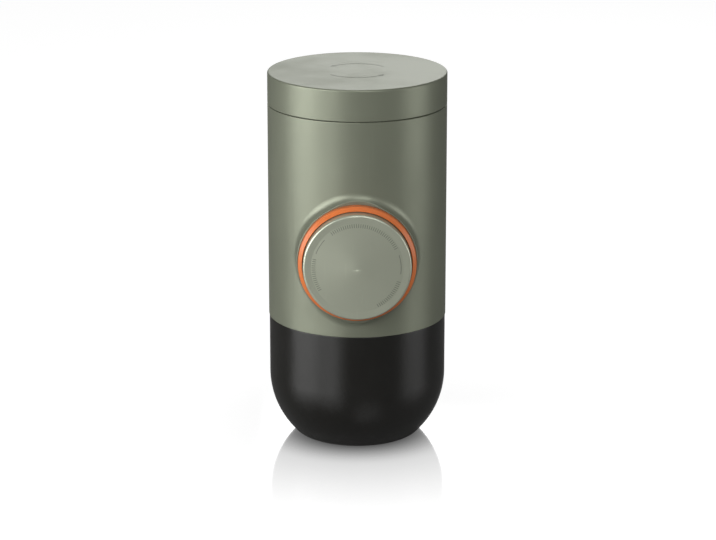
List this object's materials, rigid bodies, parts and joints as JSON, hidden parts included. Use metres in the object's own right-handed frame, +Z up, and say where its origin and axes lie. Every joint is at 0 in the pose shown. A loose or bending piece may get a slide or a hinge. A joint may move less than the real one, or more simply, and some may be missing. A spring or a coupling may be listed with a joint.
{
  "type": "hand-pumped espresso maker",
  "caption": "Upright handheld espresso maker: screw-lid water tank over a side-knob hand pump and brew head, standing in a round-bottomed cup.",
  "frame": {"origin": "on the barrel's axis, in the plane that the cup stands on", "axes": "+Z up along the barrel's axis; the pump's knob faces -Y; +X to the right as seen from the knob's side"},
  "size_m": [0.063, 0.0732, 0.1319],
  "materials": {
    "barrel_green": "fine satin texture, sage grey-green",
    "cup_black": "satin black",
    "collar_orange": "satin orange",
    "inner_black": "moulded black",
    "tank_smoke": "smoked, polished",
    "silicone": "soft matt grey",
    "steel": "stainless, fine brushed"
  },
  "bodies": {
    "cup": {"cup_shell": "cup_black"},
    "barrel": {"barrel_shell": "barrel_green", "knob_collar": "collar_orange", "guide_sleeve": "inner_black", "pump_body": "inner_black", "pump_end_cap": "inner_black", "end_cap_seal": "silicone", "end_cap_screws": "steel", "flange_screws": "steel", "inlet_seat": "inner_black", "outlet_gland": "inner_black", "outlet_seal": "silicone", "water_tank": "tank_smoke", "neck_seal": "silicone", "spigot_seal": "silicone", "group_plate": "inner_black", "group_screws": "steel", "cup_seal": "silicone", "group_gasket": "silicone", "shower_screen": "steel", "screen_screw": "steel", "return_spring": "steel", "inlet_spring": "steel", "outlet_spring": "steel"},
    "plunger": {"piston_rod": "steel", "piston_head": "inner_black", "piston_seal": "silicone"},
    "knob": {"knob_shell": "barrel_green", "knob_hub": "inner_black", "hub_retainer": "steel", "hub_screws": "steel"},
    "lid_ring": {"lid_gasket": "silicone"},
    "lid": {"lid_cap": "barrel_green", "lid_liner": "inner_black", "lid_vent_valve": "silicone"},
    "basket": {"filter_basket": "steel"},
    "holder": {"filter_holder": "inner_black", "spout_nozzle": "inner_black"},
    "inlet_valve": {"inlet_poppet": "silicone"},
    "outlet_valve": {"outlet_poppet": "silicone"}
  },
  "joints": [
    {"name": "barrel_lift", "type": "slide", "parent": "cup", "child": "barrel", "axis": [0, 0, 1], "range_m": [0, 0.06]},
    {"name": "plunger_stroke", "type": "slide", "parent": "barrel", "child": "plunger", "axis": [0, -1, 0], "range_m": [0, 0.02], "stiffness_N_per_m": 300, "springref_m": 0.055, "deforming": ["return_spring"]},
    {"name": "knob_turn", "type": "hinge", "parent": "plunger", "child": "knob", "pos_m": [0, -0.03, 0.0716], "axis": [0, -1, 0], "range_deg": [-60, 0]},
    {"name": "lid_lift", "type": "slide", "parent": "barrel", "child": "lid_ring", "axis": [0, 0, 1], "range_m": [0, 0.018]},
    {"name": "lid_turn", "type": "hinge", "parent": "lid_ring", "child": "lid", "pos_m": [0, 0, 0.125], "axis": [0, 0, 1], "range_deg": [0, 360]},
    {"name": "holder_drop", "type": "slide", "parent": "barrel", "child": "basket", "axis": [0, 0, -1], "range_m": [0, 0.007]},
    {"name": "holder_turn", "type": "hinge", "parent": "basket", "child": "holder", "pos_m": [0, 0, 0.038], "axis": [0, 0, -1], "range_deg": [0, 180]},
    {"name": "inlet_open", "type": "slide", "parent": "barrel", "child": "inlet_valve", "axis": [0, 0, -1], "range_m": [0, 0.0012], "stiffness_N_per_m": 60, "springref_m": -0.002, "deforming": ["inlet_spring"]},
    {"name": "outlet_open", "type": "slide", "parent": "barrel", "child": "outlet_valve", "axis": [0, 0, -1], "range_m": [0, 0.0012], "stiffness_N_per_m": 60, "springref_m": -0.002, "deforming": ["outlet_spring"]}
  ],
  "couplings": [
    {"joint": "lid_turn", "follows": "lid_lift", "rad_per_m": 349.06},
    {"joint": "holder_turn", "follows": "holder_drop", "rad_per_m": 448.8}
  ]
}
